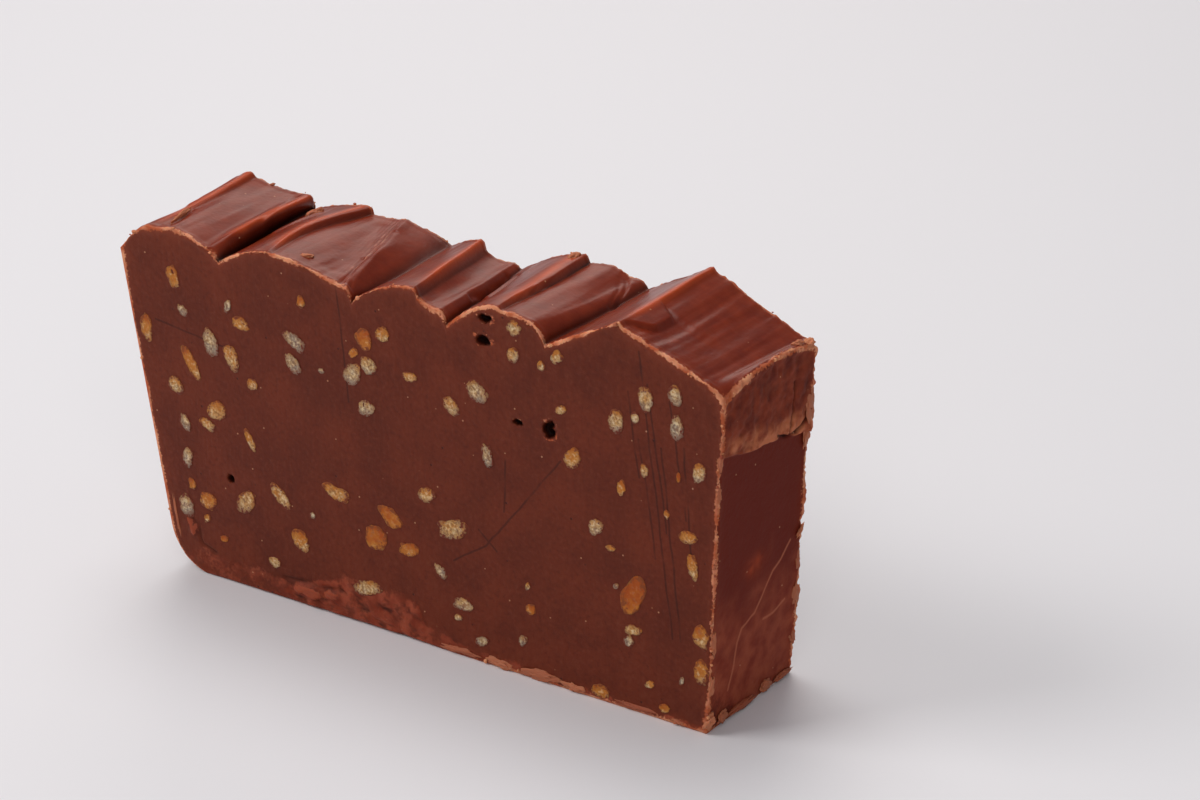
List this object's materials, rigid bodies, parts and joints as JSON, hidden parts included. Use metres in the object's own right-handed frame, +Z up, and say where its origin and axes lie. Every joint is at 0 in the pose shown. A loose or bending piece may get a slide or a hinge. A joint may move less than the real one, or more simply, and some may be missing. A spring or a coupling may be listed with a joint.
{
  "type": "slice of chocolate fudge with crisped rice",
  "caption": "Upright slice of chocolate fudge with crisped rice: folded top, flat cut faces, one tray-moulded side and one broken end.",
  "frame": {"origin": "on the surface the slice stands on, under the middle of its box", "axes": "+X along the slice towards its broken end, +Y through its thickness towards the back cut, +Z up"},
  "size_m": [0.1174, 0.0273, 0.0662],
  "materials": {
    "fudge": "dense milk-chocolate fudge, matte where cut and softly glossy on the folded top"
  },
  "bodies": {
    "root": {"fudge_slab": "fudge"}
  },
  "joints": []
}
